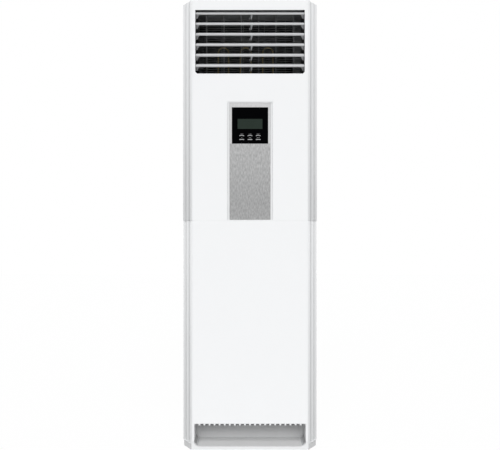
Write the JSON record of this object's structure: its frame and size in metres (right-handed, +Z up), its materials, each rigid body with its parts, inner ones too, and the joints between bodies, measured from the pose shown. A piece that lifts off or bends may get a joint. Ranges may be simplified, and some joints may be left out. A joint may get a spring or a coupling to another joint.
{
  "type": "floor-standing air conditioner",
  "caption": "Tall floor-standing air conditioner indoor unit with a louvred air outlet at the top, a control panel with display and buttons, and an air inlet recess at the foot.",
  "frame": {"origin": "centre of the underside of the base, on the floor", "axes": "+X to the right seen from the front, +Y to the back, +Z up; the front faces -Y"},
  "size_m": [0.54, 0.38, 1.776],
  "materials": {
    "white_paint": "smooth white powder coat, low gloss",
    "white_plastic": "moulded white plastic, fine satin",
    "louvre_plastic": "moulded pale grey plastic, satin",
    "grey_plastic": "moulded grey plastic, satin",
    "dark_plastic": "dark moulded plastic, matt",
    "brushed_plate": "brushed upright grain with fine speckle",
    "black_gloss": "polished black",
    "display_glass": "dark green grey display behind clear plastic",
    "button_grey": "satin silver grey",
    "galvanised_steel": "galvanised sheet, faint spangle",
    "coil_aluminium": "thin bright fins",
    "heater_metal": "heat-tinted steel tube",
    "copper": "drawn copper tube, slightly dull",
    "brass": "turned brass",
    "grey_foam": "dark grey closed-cell foam"
  },
  "bodies": {
    "cabinet": {"base_plinth": "white_plastic", "recess_liner": "white_plastic", "back_panel": "galvanised_steel", "left_side_panel": "white_paint", "right_side_panel": "white_paint", "top_cover": "white_paint", "upper_front_panel": "white_paint", "upper_left_trim": "white_plastic", "upper_right_trim": "white_plastic", "lower_left_trim": "white_plastic", "lower_right_trim": "white_plastic", "control_bezel": "white_plastic", "trim_plate": "brushed_plate", "display_fascia": "black_gloss", "lcd_window": "display_glass", "control_box": "dark_plastic", "outlet_frame": "grey_plastic", "outlet_guard": "dark_plastic", "swing_motor": "galvanised_steel", "ceiling_foam": "grey_foam", "heater_bracket": "galvanised_steel", "evaporator_coil": "coil_aluminium", "drain_pan": "grey_plastic", "drain_pipe": "grey_plastic", "gas_pipe": "copper", "liquid_pipe": "copper", "gas_flare_nut": "brass", "liquid_flare_nut": "brass", "scroll_housing": "galvanised_steel", "fan_partition": "galvanised_steel", "blower_deck": "galvanised_steel", "fan_motor": "galvanised_steel", "wall_bracket": "galvanised_steel", "heater_1": "heater_metal", "heater_2": "heater_metal", "heater_3": "heater_metal"},
    "lower_panel": {"lower_front_panel": "white_paint"},
    "filter": {"air_filter": "dark_plastic"},
    "fan": {"fan_wheel": "dark_plastic"},
    "crank": {"swing_crank": "dark_plastic"},
    "louvre_link": {"louvre_link_bar": "dark_plastic"},
    "vane_link": {"vane_link_bar": "dark_plastic"},
    "louvre_1_body": {"louvre_1": "louvre_plastic"},
    "vane_1_body": {"vane_1": "dark_plastic"},
    "button_1_body": {"button_1": "button_grey"},
    "louvre_2_body": {"louvre_2": "louvre_plastic"},
    "vane_2_body": {"vane_2": "dark_plastic"},
    "button_2_body": {"button_2": "button_grey"},
    "louvre_3_body": {"louvre_3": "louvre_plastic"},
    "vane_3_body": {"vane_3": "dark_plastic"},
    "button_3_body": {"button_3": "button_grey"},
    "louvre_4_body": {"louvre_4": "louvre_plastic"},
    "vane_4_body": {"vane_4": "dark_plastic"},
    "button_4_body": {"button_4": "button_grey"},
    "louvre_5_body": {"louvre_5": "louvre_plastic"},
    "vane_5_body": {"vane_5": "dark_plastic"},
    "button_5_body": {"button_5": "button_grey"},
    "louvre_6_body": {"louvre_6": "louvre_plastic"},
    "vane_6_body": {"vane_6": "dark_plastic"},
    "button_6_body": {"button_6": "button_grey"}
  },
  "joints": [
    {"name": "louvre_1_tilt", "type": "hinge", "parent": "cabinet", "child": "louvre_1_body", "pos_m": [0, -0.166, 1.7333], "axis": [1, 0, 0], "range_deg": [-35, 10]},
    {"name": "louvre_2_tilt", "type": "hinge", "parent": "cabinet", "child": "louvre_2_body", "pos_m": [0, -0.166, 1.6917], "axis": [1, 0, 0], "range_deg": [-35, 10]},
    {"name": "louvre_3_tilt", "type": "hinge", "parent": "cabinet", "child": "louvre_3_body", "pos_m": [0, -0.166, 1.6501], "axis": [1, 0, 0], "range_deg": [-35, 10]},
    {"name": "louvre_4_tilt", "type": "hinge", "parent": "cabinet", "child": "louvre_4_body", "pos_m": [0, -0.166, 1.6085], "axis": [1, 0, 0], "range_deg": [-35, 10]},
    {"name": "louvre_5_tilt", "type": "hinge", "parent": "cabinet", "child": "louvre_5_body", "pos_m": [0, -0.166, 1.5669], "axis": [1, 0, 0], "range_deg": [-35, 10]},
    {"name": "louvre_6_tilt", "type": "hinge", "parent": "cabinet", "child": "louvre_6_body", "pos_m": [0, -0.166, 1.5253], "axis": [1, 0, 0], "range_deg": [-35, 10]},
    {"name": "louvre_link_pin", "type": "hinge", "parent": "louvre_1_body", "child": "louvre_link", "pos_m": [0.0017, -0.128, 1.72431], "axis": [1, 0, 0], "range_deg": [-10, 35]},
    {"name": "vane_1_swing", "type": "hinge", "parent": "cabinet", "child": "vane_1_body", "pos_m": [-0.1775, -0.0975, 1.6], "axis": [0, 0, 1], "range_deg": [-35, 35]},
    {"name": "vane_2_swing", "type": "hinge", "parent": "cabinet", "child": "vane_2_body", "pos_m": [-0.1065, -0.0975, 1.6], "axis": [0, 0, 1], "range_deg": [-35, 35]},
    {"name": "vane_3_swing", "type": "hinge", "parent": "cabinet", "child": "vane_3_body", "pos_m": [-0.0355, -0.0975, 1.6], "axis": [0, 0, 1], "range_deg": [-35, 35]},
    {"name": "vane_4_swing", "type": "hinge", "parent": "cabinet", "child": "vane_4_body", "pos_m": [0.0355, -0.0975, 1.6], "axis": [0, 0, 1], "range_deg": [-35, 35]},
    {"name": "vane_5_swing", "type": "hinge", "parent": "cabinet", "child": "vane_5_body", "pos_m": [0.1065, -0.0975, 1.6], "axis": [0, 0, 1], "range_deg": [-35, 35]},
    {"name": "vane_6_swing", "type": "hinge", "parent": "cabinet", "child": "vane_6_body", "pos_m": [0.1775, -0.0975, 1.6], "axis": [0, 0, 1], "range_deg": [-35, 35]},
    {"name": "vane_link_pin", "type": "hinge", "parent": "vane_1_body", "child": "vane_link", "pos_m": [-0.1775, -0.0715, 1.4935], "axis": [0, 0, 1], "range_deg": [-35, 35]},
    {"name": "crank_turn", "type": "hinge", "parent": "cabinet", "child": "crank", "pos_m": [0, -0.0975, 1.48], "axis": [0, 0, 1], "range_deg": [-35, 35]},
    {"name": "fan_spin", "type": "hinge", "parent": "cabinet", "child": "fan", "pos_m": [0, 0, 0.38], "axis": [0, 1, 0], "continuous": true},
    {"name": "button_1_press", "type": "slide", "parent": "cabinet", "child": "button_1_body", "axis": [0, 1, 0], "range_m": [0, 0.0008], "stiffness_N_per_m": 300},
    {"name": "button_2_press", "type": "slide", "parent": "cabinet", "child": "button_2_body", "axis": [0, 1, 0], "range_m": [0, 0.0008], "stiffness_N_per_m": 300},
    {"name": "button_3_press", "type": "slide", "parent": "cabinet", "child": "button_3_body", "axis": [0, 1, 0], "range_m": [0, 0.0008], "stiffness_N_per_m": 300},
    {"name": "button_4_press", "type": "slide", "parent": "cabinet", "child": "button_4_body", "axis": [0, 1, 0], "range_m": [0, 0.0008], "stiffness_N_per_m": 300},
    {"name": "button_5_press", "type": "slide", "parent": "cabinet", "child": "button_5_body", "axis": [0, 1, 0], "range_m": [0, 0.0008], "stiffness_N_per_m": 300},
    {"name": "button_6_press", "type": "slide", "parent": "cabinet", "child": "button_6_body", "axis": [0, 1, 0], "range_m": [0, 0.0008], "stiffness_N_per_m": 300},
    {"name": "lower_panel_lift_off", "type": "slide", "parent": "cabinet", "child": "lower_panel", "axis": [0, -1, 0], "range_m": [0, 0.25]},
    {"name": "filter_draw", "type": "slide", "parent": "cabinet", "child": "filter", "axis": [0, -1, 0], "range_m": [0, 0.08]}
  ],
  "couplings": [
    {"joint": "louvre_2_tilt", "follows": "louvre_1_tilt", "ratio": 1},
    {"joint": "louvre_3_tilt", "follows": "louvre_1_tilt", "ratio": 1},
    {"joint": "louvre_4_tilt", "follows": "louvre_1_tilt", "ratio": 1},
    {"joint": "louvre_5_tilt", "follows": "louvre_1_tilt", "ratio": 1},
    {"joint": "louvre_6_tilt", "follows": "louvre_1_tilt", "ratio": 1},
    {"joint": "louvre_link_pin", "follows": "louvre_1_tilt", "ratio": -1},
    {"joint": "vane_2_swing", "follows": "vane_1_swing", "ratio": 1},
    {"joint": "vane_3_swing", "follows": "vane_1_swing", "ratio": 1},
    {"joint": "vane_4_swing", "follows": "vane_1_swing", "ratio": 1},
    {"joint": "vane_5_swing", "follows": "vane_1_swing", "ratio": 1},
    {"joint": "vane_6_swing", "follows": "vane_1_swing", "ratio": 1},
    {"joint": "vane_link_pin", "follows": "vane_1_swing", "ratio": -1},
    {"joint": "crank_turn", "follows": "vane_1_swing", "ratio": 1}
  ]
}
